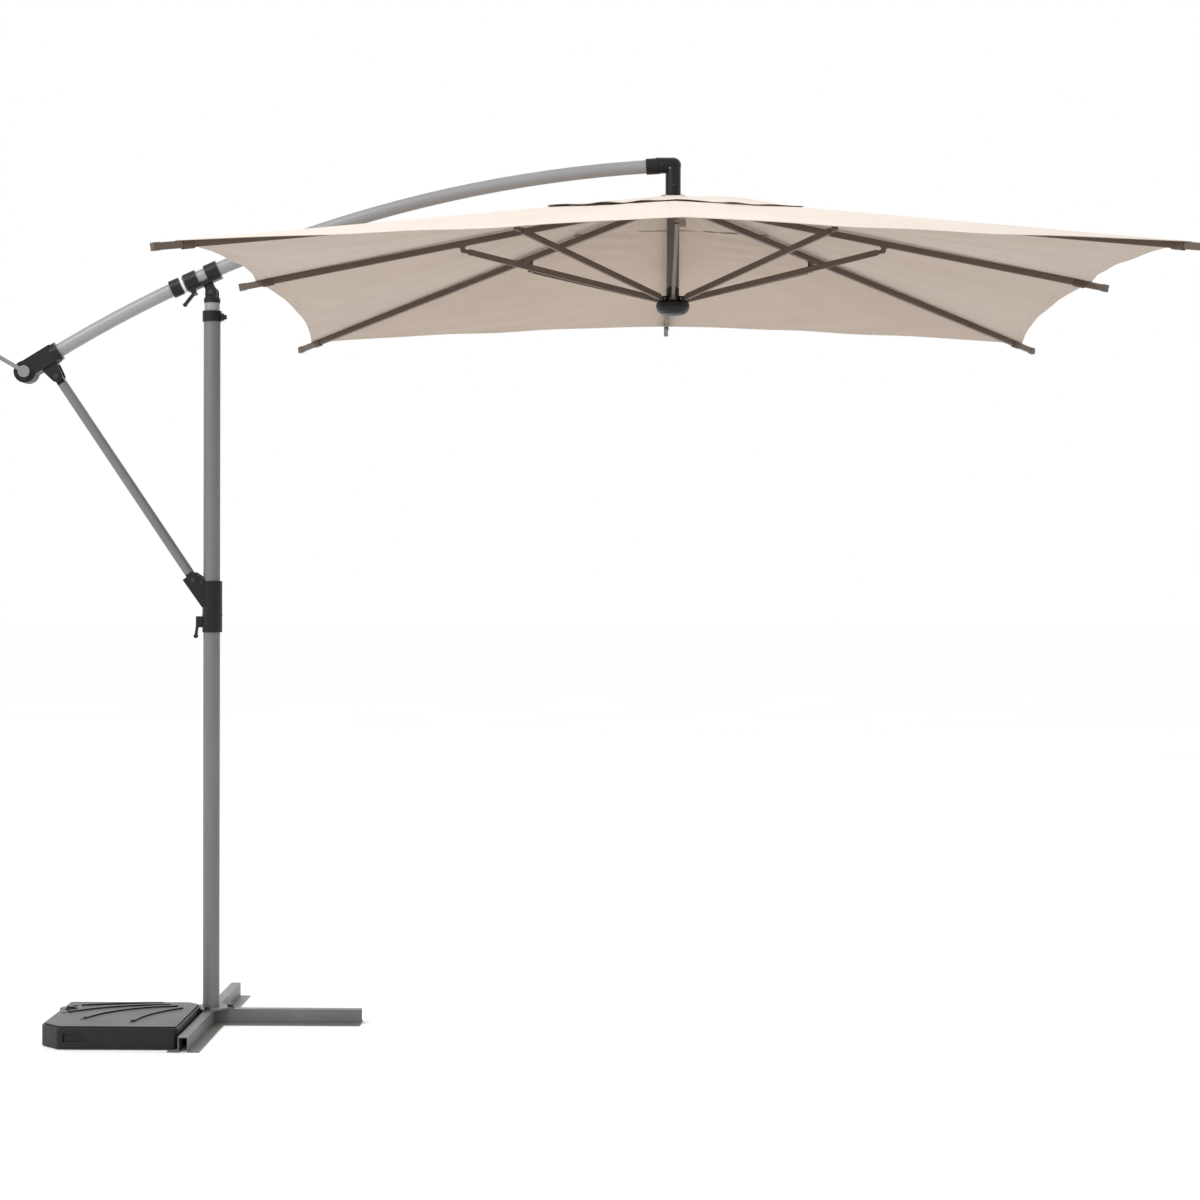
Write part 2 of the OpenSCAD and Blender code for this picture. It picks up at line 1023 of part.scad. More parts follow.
module rib_1() rib_at(0);
module rib_2() rib_at(1);
module rib_3() rib_at(2);
module rib_4() rib_at(3);
module rib_5() rib_at(4);
module rib_6() rib_at(5);
module rib_7() rib_at(6);
module rib_8() rib_at(7);
module stay_1() stay_at(0);
module stay_2() stay_at(1);
module stay_3() stay_at(2);
module stay_4() stay_at(3);
module stay_5() stay_at(4);
module stay_6() stay_at(5);
module stay_7() stay_at(6);
module stay_8() stay_at(7);

// Distance from the pole axis to the fabric's edge over rib k.
function hem_of(k) = (half_span - hem_inset) * (k % 2 == 0 ? 1 : sqrt(2));

// Height of the top of rib k at distance r from the pole axis.
function rib_top(k, r) =
    rib_pivot_z + (rib_height / 2 - rib_drop) / cos(slope_of(k)) - (r - pivot_r) * tan(slope_of(k));

// Fabric over rib k at distance r: height of the underside.
function over_rib(k, r) =
    fabric_z - max(0, r - 46) * (fabric_z - rib_top(k, hem_of(k)) - 1) / (hem_of(k) - 46);

// A point of the hem between ribs k and k + 1, at share t of the way.
function hem_point(k, t, reach, curve) =
    let (a = 45 * k, b = 45 * (k + 1))
    let (ra = reach * (k % 2 == 0 ? 1 : sqrt(2)))
    let (rb = reach * (k % 2 == 0 ? sqrt(2) : 1))
    let (pull = 1 - curve * 4 * t * (1 - t))
    let (x = (ra * cos(a) * (1 - t) + rb * cos(b) * t) * pull)
    let (y = (ra * sin(a) * (1 - t) + rb * sin(b) * t) * pull)
    let (za = over_rib(k, ra), zb = over_rib(k + 1, rb))
    [x, y, fabric_z + (za * (1 - t) + zb * t - fabric_z) * pull];

// A point of the fabric at share s from the centre hole to the hem.
function fabric_point(k, t, s, reach, curve, inner) =
    let (h = hem_point(k, t, reach, curve))
    let (l = sqrt(h[0] * h[0] + h[1] * h[1]))
    let (first = inner > 50 ? l * inner / reach : inner)
    let (r = first + s * (l - first))
    [h[0] * r / l, h[1] * r / l, fabric_z + (h[2] - fabric_z) * max(0, r - 46) / (l - 46)];

// A closed thin sheet over the ribs: columns around the pole, rows from the centre to the hem.
module fabric(reach, curve, inner, lift, flare) {
    cols = 64;
    rows = 5;
    top = [
        for (i = [0 : cols - 1])
            for (j = [0 : rows])
                fabric_point(floor(i / 8), (i % 8) / 8, j / rows, reach, curve, inner)
    ];
    n = cols * (rows + 1);
    points = concat(
        [for (i = [0 : n - 1]) top[i] + [0, 0, lift + flare * (i % (rows + 1)) / rows]],
        [for (i = [0 : n - 1]) top[i] + [0, 0, lift + fabric_t + flare * (i % (rows + 1)) / rows]]
    );
    w = rows + 1;
    faces = concat(
        [
            for (i = [0 : cols - 1])
                for (j = [0 : rows - 1])
                    for (h = [0, 1])
                        let (a = i * w + j, b = ((i + 1) % cols) * w + j)
                        h == 0 ? [a, b, b + 1] : [a, b + 1, a + 1]
        ],
        [
            for (i = [0 : cols - 1])
                for (j = [0 : rows - 1])
                    for (h = [0, 1])
                        let (a = n + i * w + j, b = n + ((i + 1) % cols) * w + j)
                        h == 0 ? [a, b + 1, b] : [a, a + 1, b + 1]
        ],
        [
            for (i = [0 : cols - 1])
                for (j = [0, rows])
                    for (h = [0, 1])
                        let (a = i * w + j, b = ((i + 1) % cols) * w + j)
                        j == 0
                            ? (h == 0 ? [a, a + n, b + n] : [a, b + n, b])
                            : (h == 0 ? [a, b + n, a + n] : [a, b, b + n])
        ]
    );
    translate([crown_x, 0, 0])
        polyhedron(points = points, faces = faces, convexity = 6);
}

module canopy() {
    color("#F5EADB")
        fabric(half_span - hem_inset, scallop, opening_half, 0.2, 0);
}

module vent_cap() {
    color("#FBF0E6")
        fabric(vent_half, 0.02, 32, 2.4, 7);
}

cross_bar_long();
cross_bars_side();
tie_plate();
mast_plate();
plate_bolts();
mast_tube();
ballast_shell();
ballast_fill();
filler_cap();
mast_clamp();
clamp_knob();
head_tube();
neck();
luff_pin();
saddle();
stop_collar();
slide_washer();
saddle_lever();
boom_tube();
crank_housing();
housing_cover();
cord_spool();
cord_turns();
crank_arm();
crank_knob();
tail_clevis();
clevis_pin();
elbow();
pulley();
pulley_axle();
pole();
crown();
crown_pins();
crown_cap();
hoist_cord();
hub();
hub_pins();
brace_tube();
brace_ends();
sleeve();
foot_pin();
sleeve_lever();
canopy();
vent_cap();
rib_1();
rib_2();
rib_3();
rib_4();
rib_5();
rib_6();
rib_7();
rib_8();
stay_1();
stay_2();
stay_3();
stay_4();
stay_5();
stay_6();
stay_7();
stay_8();
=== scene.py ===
import json
import math

import bpy
import bmesh
from mathutils import Matrix, Vector


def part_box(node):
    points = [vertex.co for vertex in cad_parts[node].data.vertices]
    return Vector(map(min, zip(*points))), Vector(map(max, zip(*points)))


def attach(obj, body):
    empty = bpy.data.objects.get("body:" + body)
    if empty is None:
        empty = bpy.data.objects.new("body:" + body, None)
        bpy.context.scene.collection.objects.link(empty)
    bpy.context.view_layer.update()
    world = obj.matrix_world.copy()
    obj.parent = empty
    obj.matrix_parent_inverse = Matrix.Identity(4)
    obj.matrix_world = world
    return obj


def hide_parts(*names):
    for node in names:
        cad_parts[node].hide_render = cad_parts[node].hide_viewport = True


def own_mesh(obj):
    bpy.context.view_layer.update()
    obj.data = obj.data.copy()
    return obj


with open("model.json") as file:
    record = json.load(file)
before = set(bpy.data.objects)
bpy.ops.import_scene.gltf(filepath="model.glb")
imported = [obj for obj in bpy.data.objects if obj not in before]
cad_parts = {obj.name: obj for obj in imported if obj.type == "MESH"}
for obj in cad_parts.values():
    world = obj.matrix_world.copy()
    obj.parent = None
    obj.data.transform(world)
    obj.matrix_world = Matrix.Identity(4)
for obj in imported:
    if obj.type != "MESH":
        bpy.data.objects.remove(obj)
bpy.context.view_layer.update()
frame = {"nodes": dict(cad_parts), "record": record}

# ---------------------------------------------------------------- sizes in metres, as in the CAD source
RIBS = 8
HALF_STEP = math.radians(22.5)
RIB_REACH = 1.205
CORNER = math.sqrt(2)
TOP_Z = 2.383
PIVOT_Z = 2.374
PIVOT_R = 0.040
CLOTH_HOLE = 0.032
OPENING = 0.290
VENT_REACH = 0.350
FLAT_R = 0.046
MID_SLOPE = math.radians(11.2)
CORNER_SLOPE = math.radians(9.8)

# ---------------------------------------------------------------- sizes of the cloth and its sewing
CLOTH_THICK = 0.0009
HEM_THICKER = 2.2
HEM_BAND = 0.026
STITCH_INSET = 0.004
RIB_SEAM = 0.021
THREAD = 0.0022
STITCH = 0.0045
GATHER = 0.024
LOOP_INSET = 0.034

# ---------------------------------------------------------------- where the picture is taken from
CAMERA_PLACE = (1.2051, -6.8085, 1.2831)
CAMERA_TURN = (0.0121, -0.0082, 0.0028)
CAMERA_LENS = 70.79
FLOOR_R = 60

low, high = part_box("crown_cap")
AXIS = Vector(((low.x + high.x) / 2, (low.y + high.y) / 2, 0))


# ---------------------------------------------------------------- material nodes
def tone(code):
    """A hex colour as linear RGBA."""
    parts = [int(code[i:i + 2], 16) / 255 for i in (0, 2, 4)]
    return [c / 12.92 if c <= 0.04045 else ((c + 0.055) / 1.055) ** 2.4 for c in parts] + [1]


def shade(code, share):
    """A hex colour made darker or lighter in linear light."""
    return [min(1.0, c * share) for c in tone(code)[:3]] + [1]


class Maker:
    """One procedural material: its node tree and the few node recipes that every finish uses."""

    def __init__(self, name, rough, metal=0.0, coat=0.0, sheen=0.0, specular=0.5):
        self.mat = bpy.data.materials.new(name)
        self.mat.use_nodes = True
        self.tree = self.mat.node_tree
        self.shader = self.tree.nodes["Principled BSDF"]
        self.rough = rough
        self.set("Roughness", sum(rough) / 2)
        self.set("Metallic", metal)
        self.set("Coat Weight", coat)
        self.set("Coat Roughness", 0.25)
        self.set("Sheen Weight", sheen)
        self.set("Specular IOR Level", specular)
        self.where = self.add("ShaderNodeTexCoord").outputs["Object"]

    def set(self, name, value):
        self.shader.inputs[name].default_value = value

    def add(self, kind, links=(), **values):
        node = self.tree.nodes.new(kind)
        for key, value in values.items():
            setattr(node, key, value)
        for name, value in dict(links).items():
            self.put(node.inputs[name], value)
        return node

    def put(self, socket, value):
        if isinstance(value, bpy.types.NodeSocket):
            self.tree.links.new(value, socket)
        else:
            socket.default_value = value

    def stretch(self, x, y, z):
        return self.add("ShaderNodeMapping", {"Vector": self.where, "Scale": (x, y, z)}).outputs[0]

    def noise(self, scale, detail=3.0, where=None, rough=0.5):
        links = {"Vector": where or self.where, "Scale": scale, "Detail": detail, "Roughness": rough}
        return self.add("ShaderNodeTexNoise", links).outputs["Fac"]

    def cells(self, scale, where=None):
        links = {"Vector": where or self.where, "Scale": scale}
        return self.add("ShaderNodeTexVoronoi", links).outputs["Distance"]

    def math(self, kind, a, b=0.0, c=0.0):
        node = self.add("ShaderNodeMath", operation=kind)
        for socket, value in zip(node.inputs, (a, b, c)):
            self.put(socket, value)
        return node.outputs[0]

    def span(self, value, low, high, to_low=0.0, to_high=1.0):
        links = {"Value": value, "From Min": low, "From Max": high, "To Min": to_low, "To Max": to_high}
        return self.add("ShaderNodeMapRange", links).outputs["Result"]

    def ramp(self, value, stops):
        node = self.add("ShaderNodeValToRGB", {"Fac": value})
        bar = node.color_ramp
        while len(bar.elements) < len(stops):
            bar.elements.new(0.5)
        for mark, (place, colour) in zip(bar.elements, stops):
            mark.position = place
            mark.color = colour if len(colour) == 4 else tone(colour)
        return node.outputs["Color"]

    def mix(self, amount, a, b):
        node = self.add("ShaderNodeMix", data_type="RGBA")
        self.put(node.inputs["Factor"], amount)
        first, second = (s for s in node.inputs if s.type == "RGBA")
        self.put(first, a)
        self.put(second, b)
        return next(s for s in node.outputs if s.type == "RGBA")

    def edges(self, radius=0.0016):
        """Near 1 on outside edges, where a finish wears and catches the light."""
        bevel = self.add("ShaderNodeBevel", {"Radius": radius}, samples=4).outputs[0]
        flat = self.add("ShaderNodeNewGeometry").outputs["Normal"]
        both = self.add("ShaderNodeVectorMath", {0: bevel, 1: flat}, operation="DOT_PRODUCT")
        return self.span(both.outputs["Value"], 0.99, 0.86)

    def paint_top_light(self, colour, pale, most):
        """Painted top light: upward faces made paler, in uneven patches, to stand in for the light that
        falls on them.
        """
        normal = self.add("ShaderNodeNewGeometry").outputs["Normal"]
        facing = self.add("ShaderNodeSeparateXYZ", {0: normal})
        up = self.span(facing.outputs[2], 0.75, 0.98)
        uneven = self.span(self.noise(18.0, 5.0), 0.2, 0.8, most * 0.7, most)
        return self.mix(self.math("MULTIPLY", up, uneven), colour, pale)

    def finish(self, colour, bumps, wear=None):
        """Joins colour, roughness and a chain of bumps (height, strength, distance) to the shader."""
        self.put(self.shader.inputs["Base Color"], colour)
        patches = self.noise(9.0, 4.0)
        rough = self.span(patches, 0.3, 0.7, self.rough[0], self.rough[1])
        if wear is not None:
            rough = self.math("MULTIPLY_ADD", wear, -0.08, rough)
        self.put(self.shader.inputs["Roughness"], rough)
        normal = None
        for height, strength, distance in bumps:
            links = {"Height": height, "Strength": strength, "Distance": distance}
            if normal is not None:
                links["Normal"] = normal
            normal = self.add("ShaderNodeBump", links).outputs["Normal"]
        self.put(self.shader.inputs["Normal"], normal)
        return self.mat


def painted(name, main, rough=(0.4, 0.54), metal=0.0, top_light=0.0):
    """Powder coat: fine orange peel, faint clouding, lighter worn edges, and painted top light, paler upward
    faces for the light that falls on them, if asked.
    """
    m = Maker(name, rough, metal, coat=0.08)
    cloud = m.noise(6.0, 5.0)
    speck = m.noise(700.0, 2.0)
    tint = m.math("MULTIPLY_ADD", speck, 0.3, m.math("MULTIPLY", cloud, 0.7))
    wear = m.math("MULTIPLY", m.edges(), m.span(m.noise(40.0), 0.35, 0.6))
    colour = m.ramp(tint, ((0.3, shade(main, 0.86)), (0.5, shade(main, 1.0)), (0.7, shade(main, 1.16))))
    colour = m.mix(m.math("MULTIPLY", wear, 0.4), colour, shade(main, 2.0))
    # painted top light: upward faces lightened for the light they catch from above
    if top_light:
        colour = m.paint_top_light(colour, shade(main, 1.9), top_light)
    peel = m.noise(420.0, 2.0)
    return m.finish(colour, ((peel, 0.25, 0.0003), (m.noise(60.0), 0.1, 0.0004)), wear)


def drawn_metal(name, main, along, rough=(0.3, 0.42), metal=0.3):
    """Anodised or brushed tube: long fine draw lines, slow tone drift, small scuffs."""
    m = Maker(name, rough, metal, coat=0.05)
    lines = m.noise(1.0, 2.0, m.stretch(*along), 0.6)
    drift = m.noise(3.0, 3.0)
    scuff = m.span(m.noise(60.0, 4.0), 0.62, 0.7)
    tint = m.math("MULTIPLY_ADD", lines, 0.4, m.math("MULTIPLY", drift, 0.6))
    colour = m.ramp(tint, ((0.34, shade(main, 0.94)), (0.5, shade(main, 1.0)), (0.66, shade(main, 1.06))))
    colour = m.mix(m.math("MULTIPLY", scuff, 0.06), colour, shade(main, 0.6))
    return m.finish(colour, ((lines, 0.03, 0.0001), (drift, 0.03, 0.0004)))


def moulded(name, main, rough=(0.4, 0.52), grain=620.0, depth=0.0003, worn=3.0, top_light=0.0):
    """Injection-moulded plastic: spark-eroded grain, faint flow clouds, softly rubbed edges, and painted top
    light on upward faces if asked.
    """
    m = Maker(name, rough, specular=0.3)
    cloud = m.noise(12.0, 4.0)
    cell = m.cells(grain)
    tint = m.math("MULTIPLY_ADD", cell, 0.3, m.math("MULTIPLY", cloud, 0.8))
    wear = m.math("MULTIPLY", m.edges(), m.span(m.noise(55.0), 0.3, 0.65))
    colour = m.ramp(tint, ((0.3, shade(main, 0.8)), (0.52, shade(main, 1.0)), (0.8, shade(main, 1.3))))
    colour = m.mix(m.math("MULTIPLY", wear, 0.4), colour, shade(main, worn))
    # painted top light: upward faces lightened for the light they catch from above
    if top_light:
        colour = m.paint_top_light(colour, shade(main, 15.0), top_light)
    return m.finish(colour, ((cell, 0.35, depth), (m.noise(90.0), 0.12, 0.0003)), wear)


def cast_stone(name):
    """Cured concrete: mottled grey with pale sand and dark pores."""
    m = Maker(name, (0.8, 0.95))
    body = m.ramp(m.noise(14.0, 8.0), ((0.35, "77736E"), (0.5, "8B8680"), (0.66, "A09B94")))
    pores = m.span(m.cells(160.0), 0.12, 0.05)
    return m.finish(m.mix(pores, body, tone("4E4A46")), ((m.noise(220.0, 6.0), 0.7, 0.001),))


def braided(name):
    """White braided line: crossed diagonal strands, with painted shade, a soft grey, in the grooves between
    them.
    """
    m = Maker(name, (0.7, 0.85), sheen=0.2)
    picks = []
    for tilt in (1.0, -1.0):
        spot = m.add("ShaderNodeMapping", {"Vector": m.where, "Rotation": (0.6 * tilt, 0.9 * tilt, 0.4)})
        links = {"Vector": spot.outputs[0], "Scale": 160.0, "Distortion": 0.6}
        picks.append(m.add("ShaderNodeTexWave", links).outputs["Fac"])
    strand = m.math("MAXIMUM", *picks)
    # painted shade: grey in the grooves between strands, near white on the strand tops
    colour = m.ramp(strand, ((0.15, "8F8D86"), (0.6, "D2D1CA"), (0.95, "EFEEE8")))
    return m.finish(colour, ((strand, 0.8, 0.0006),))


def woven(name, main):
    """Canopy cloth: plain weave with slubs, stitched rib and hem seams, soft creasing and sheen."""
    m = Maker(name, (0.74, 0.88), sheen=0.25, specular=0.25)
    m.set("Sheen Roughness", 0.5)
    uv = m.add("ShaderNodeUVMap", uv_map="UVMap").outputs[0]
    parts = m.add("ShaderNodeSeparateXYZ", {0: uv}).outputs
    across, down = parts[0], parts[1]
    threads = []
    for way in (across, down):
        turn = m.math("SINE", m.math("MULTIPLY", way, 2 * math.pi / THREAD))
        threads.append(m.span(turn, -1.0, 1.0))
    weave = m.math("MAXIMUM", *threads)
    warp = m.noise(1.0, 3.0, m.add("ShaderNodeMapping", {"Vector": uv, "Scale": (900, 14, 1)}).outputs[0])
    weft = m.noise(1.0, 3.0, m.add("ShaderNodeMapping", {"Vector": uv, "Scale": (14, 900, 1)}).outputs[0])
    slub = m.math("MULTIPLY", m.math("ADD", warp, weft), 0.5)
    cloud = m.noise(2.6, 4.0)
    tint = m.math("ADD", m.math("MULTIPLY", slub, 0.55), m.math("MULTIPLY", cloud, 0.3))
    tint = m.math("MULTIPLY_ADD", weave, 0.1, tint)
    colour = m.ramp(tint, ((0.32, shade(main, 0.9)), (0.48, shade(main, 1.0)), (0.64, shade(main, 1.08))))
    seam, pucker = seams(m, across, down)
    colour = m.mix(m.math("MULTIPLY", seam, 0.4), colour, shade(main, 0.7))
    bumps = ((weave, 0.35, 0.0004), (slub, 0.4, 0.0007), (seam, -0.6, 0.0012), (pucker, 0.5, 0.002))
    return m.finish(colour, bumps)


def seams(m, across, down):
    """Dashed stitch lines beside each rib and along the hem, and the gathers that their thread pulls."""
    side = m.math("ABSOLUTE", across)
    lines = []
    rows = ((RIB_SEAM, side, down), (STITCH_INSET, down, across), (HEM_BAND - 0.002, down, across))
    for place, way, run in rows:
        off = m.math("ABSOLUTE", m.math("SUBTRACT", way, place))
        line = m.span(off, 0.0016, 0.0007)
        dash = m.math("FRACT", m.math("DIVIDE", run, STITCH))
        lines.append(m.math("MULTIPLY", line, m.span(dash, 0.2, 0.35)))
    seam = m.math("MAXIMUM", m.math("MAXIMUM", lines[0], lines[1]), lines[2])
    near = m.math("MAXIMUM", m.span(side, 0.05, 0.018), m.span(down, 0.055, 0.02))
    gather = m.math("SINE", m.math("MULTIPLY", m.math("ADD", across, down), 2 * math.pi / GATHER))
    return seam, m.math("MULTIPLY", near, m.math("MULTIPLY", gather, m.noise(30.0)))


def stage_paper():
    """White backdrop paper with the faintest mottling."""
    m = Maker("stage_paper", (0.9, 1.0), specular=0.0)
    colour = m.ramp(m.noise(0.8, 3.0), ((0.3, "FCFCFC"), (0.7, "FFFFFF")))
    return m.finish(colour, ((m.noise(300.0), 0.02, 0.0002),))


def finishes():
    """The material of each slot in the record."""
    return {
        # base_paint gets painted top light: its upward faces paler as if lit from above
        "base_paint": painted("base_paint", "5E5D5C", top_light=0.7),
        "black_steel": painted("black_steel", "161616", (0.3, 0.42)),
        "mast_paint": drawn_metal("mast_paint", "696969", (90, 90, 3), (0.4, 0.5), 0.15),
        # slab_plastic gets strong painted top light: its upward faces far paler than its black sides, as if
        # lit from above
        "slab_plastic": moulded("slab_plastic", "131314", (0.36, 0.46), 380.0, 0.0005, top_light=0.9),
        "concrete": cast_stone("concrete"),
        "black_plastic": moulded("black_plastic", "0D0D0D", (0.34, 0.46)),
        "boom_metal": drawn_metal("boom_metal", "8C8C8E", (3, 90, 3), (0.42, 0.52), 0.2),
        "pin_steel": drawn_metal("pin_steel", "78797B", (300, 300, 300), (0.38, 0.48), 0.3),
        "pale_plastic": moulded("pale_plastic", "D2D2CE", (0.4, 0.5), worn=1.1),
        "pole_paint": painted("pole_paint", "57504B"),
        "cord_fibre": braided("cord_fibre"),
        "canopy_fabric": woven("canopy_fabric", "D6C8BB"),
        "rib_paint": painted("rib_paint", "55473D"),
    }


def dress(skins):
    """Gives every CAD node the finish of its slot, but the three big pins are blackened steel."""
    for part in frame["record"]["subparts"]:
        mesh = frame["nodes"][part["node"]].data
        slot = "black_steel" if part["node"].endswith("_pin") else part["material_slot"]
        mesh.materials.clear()
        mesh.materials.append(skins[slot])


# ---------------------------------------------------------------- cloth
def slope(k):
    """How far rib k dips below level."""
    return CORNER_SLOPE if k % 2 else MID_SLOPE


def stretch_of(k):
    """A corner rib's length against a middle rib's."""
    return CORNER if k % 2 else 1.0


def heading(n):
    """Direction of rib n in the plan."""
    return math.radians(45 * n)


def hump(azimuth, middle, width):
    """A smooth swelling round the canopy, 1 at its middle; all three in degrees."""
    return math.exp(-((azimuth - middle) / width) ** 2)


def over_rib(k, r):
    """Height of the cloth over rib k at distance r from the pole."""
    hem = RIB_REACH * stretch_of(k)
    rib_top = PIVOT_Z + 0.001 / math.cos(slope(k)) - (hem - PIVOT_R) * math.tan(slope(k))
    return TOP_Z - max(0.0, r - FLAT_R) * (TOP_Z - rib_top - 0.001) / (hem - FLAT_R)


def hem_point(k, t, reach, curve):
    """A point of the edge between rib k and the next, at share t, pulled in towards the pole."""
    ends = []
    for n in (k, k + 1):
        turn = heading(n)
        r = reach * stretch_of(n)
        ends.append(Vector((r * math.cos(turn), r * math.sin(turn), over_rib(n, r) - TOP_Z)))
    return ends[0].lerp(ends[1], t) * (1 - curve * 4 * t * (1 - t))


def folds(k, t, s, depth):
    """Sag between the ribs, tension folds from the crown and cross creases near it, in metres."""
    free = math.sin(math.pi * t) ** 2
    sag = -depth * free * s * (1.15 - s) * 3
    fan = 0.0016 * math.sin(2 * math.pi * (4.3 * t + 0.4 * s) + 1.9 * k) * (1 - s) * s * 4
    cross = 0.0022 * math.sin(2 * math.pi * (11 * s + 0.9 * t) + 2.3 * k) * math.exp(-5 * s)
    corner = 0.0018 * math.sin(2 * math.pi * (6 * s - 3.1 * t) + 0.8 * k) * s ** 3
    return sag + free * (fan + cross + corner)


class Cloth:
    """A square of cloth over the ribs, as one smooth surface that its eight sectors are cut from."""

    def __init__(self, reach, curve, inner, depth, lift, flare, puff):
        self.reach, self.curve, self.inner, self.depth = reach, curve, inner, depth
        self.lift, self.flare, self.puff = lift, flare, puff

    def start(self, far):
        """Distance of the inner edge from the pole, where the hem is far away."""
        return far * self.inner / self.reach if self.inner > FLAT_R else self.inner

    def span(self, k, t):
        """Distance of the hem from the pole."""
        h = hem_point(k, t, self.reach, self.curve)
        return math.hypot(h.x, h.y)

    def at(self, k, t, s):
        """The middle of the cloth between rib k and the next, share t across and s out."""
        h = hem_point(k, t, self.reach, self.curve)
        far = math.hypot(h.x, h.y)
        r = self.start(far) + s * (far - self.start(far))
        azimuth = 45 * (k + t)
        z = TOP_Z + h.z * max(0.0, r - FLAT_R) / (far - FLAT_R) + self.lift
        lift = self.flare * (0.35 + 0.65 * hump(azimuth, 240, 40))
        z += folds(k, t, s, self.depth) + lift * max(0.0, s - 0.6) ** 2 / 0.16
        z += lift * 0.3 * math.sin(2 * math.pi * 3 * t) * s ** 6
        z += self.puff * hump(azimuth, 325, 26) * math.sin(math.pi * min(1.0, s * 1.12)) ** 2
        return Vector((AXIS.x + h.x * r / far, AXIS.y + h.y * r / far, z))

    def normal(self, k, t, s):
        """Outward normal, averaged across a rib so that the eight sectors shade as one sheet."""
        step = 0.004
        a, b = max(0.0, s - step), min(1.0, s + step)
        total = Vector()
        for way in (-1, 1):
            t2 = t + way * step
            k2 = (k + math.floor(t2)) % RIBS
            aside = self.at(k2, t2 - math.floor(t2), s) - self.at(k, t, s)
            total += ((self.at(k, t, b) - self.at(k, t, a)).cross(aside) * way).normalized()
        return total.normalized()


def sector_columns(n, count):
    """(panel, share across) for the columns of rib n's sector, from one panel's middle to the next's."""
    cut = math.tan(HALF_STEP)
    after = 1 - cut if n % 2 else cut
    back = [((n - 1) % RIBS, 1 - after * (1 - j / count)) for j in range(count)]
    return back + [(n, after * j / count) for j in range(count + 1)]


def hem_rows(span, count):
    """Shares out from the inner edge: close rows round each hem band, even ones between."""
    band = [d / span for d in (0.0, STITCH_INSET, HEM_BAND / 2, HEM_BAND - 0.001, HEM_BAND + 0.001)]
    far = [1 - d for d in reversed(band)]
    between = [band[4] + (far[0] - band[4]) * i / count for i in range(1, count)]
    return band + between + far


def sector_grid(cloth, n, count, rows):
    """Points, normals, half thickness and seam distances of one sector, column by column."""
    grid = []
    turn = heading(n)
    doubled = (1, 2, 3, rows + 5, rows + 6, rows + 7)
    for k, t in sector_columns(n, count):
        far = cloth.span(k, t)
        column = []
        for i, s in enumerate(hem_rows(far - cloth.start(far), rows)):
            p = cloth.at(k, t, s)
            side = (p.y - AXIS.y) * math.cos(turn) - (p.x - AXIS.x) * math.sin(turn)
            half = CLOTH_THICK / 2 * (HEM_THICKER if i in doubled else 1.0)
            edge = min(s, 1 - s) * (far - cloth.start(far))
            column.append((p, cloth.normal(k, t, s), half, (side, edge)))
        grid.append(column)
    return grid


def sector_faces(wide, long):
    """Faces and their skins: 0 for the top and the thin edges, 1 for the underside, which carries the darker
    painted shade.
    """
    count = wide * long
    faces, skin = [], []
    for i in range(wide - 1):
        for j in range(long - 1):
            a = i * long + j
            quad = (a, a + 1, a + long + 1, a + long)
            faces += [quad, tuple(count + v for v in reversed(quad))]
            skin += [0, 1]
    ring = list(range(long)) + [i * long + long - 1 for i in range(1, wide)]
    ring += [(wide - 1) * long + j for j in range(long - 2, -1, -1)]
    ring += [i * long for i in range(wide - 2, 0, -1)]
    for a, b in zip(ring, ring[1:] + ring[:1]):
        faces.append((b, a, count + a, count + b))
        skin.append(0)
    return faces, skin


def skin_sector(name, grid, skins):
    """A closed two-sided mesh from a sector's grid: top, underside and the thin edges between."""
    points, normals, marks = [], [], []
    for side in (1, -1):
        for column in grid:
            for p, normal, half, mark in column:
                points.append(p + normal * half * side)
                normals.append(normal * side)
                marks.append(mark)
    faces, skin = sector_faces(len(grid), len(grid[0]))
    mesh = bpy.data.meshes.new(name)
    mesh.from_pydata([tuple(p) for p in points], [], faces)
    for m in skins:
        mesh.materials.append(m)
    mesh.polygons.foreach_set("material_index", skin)
    mesh.polygons.foreach_set("use_smooth", [True] * len(faces))
    layer = mesh.uv_layers.new(name="UVMap")
    for loop in mesh.loops:
        layer.data[loop.index].uv = marks[loop.vertex_index]
    mesh.update()
    mesh.normals_split_custom_set_from_vertices([tuple(v) for v in normals])
    return place(name, mesh)


def place(name, data):
    """A new object of this data, in the scene."""
    obj = bpy.data.objects.new(name, data)
    bpy.context.collection.objects.link(obj)
    return obj


def spread_cloth(cloth, kind, node, skins, counts):
    """Cuts the cloth into one sector for each rib. Each rides on its rib."""
    for n in range(RIBS):
        obj = skin_sector(f"{kind}_{n + 1}", sector_grid(cloth, n, *counts), skins)
        body = f"rib_{n + 1}"
        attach(obj, body)
        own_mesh(obj)
        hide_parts(node)
        hem = cloth.reach * stretch_of(n)
        far = hem - cloth.start(hem)


# ---------------------------------------------------------------- small fittings
def from_bmesh(name, bm, skin):
    """An object of this bmesh, with outward normals and one skin."""
    mesh = bpy.data.meshes.new(name)
    bmesh.ops.recalc_face_normals(bm, faces=bm.faces)
    bm.to_mesh(mesh)
    bm.free()
    mesh.materials.append(skin)
    return place(name, mesh)


def ring(bm, r, z, sides, corners=0):
    """A closed row of vertices, round or drawn out to a polygon with this many corners."""
    row = []
    for i in range(sides):
        turn = 2 * math.pi * i / sides
        far = r
        if corners:
            half = math.pi / corners
            far = r * math.cos(half) / math.cos(turn % (2 * half) - half)
        row.append(bm.verts.new((far * math.cos(turn), far * math.sin(turn), z)))
    return row


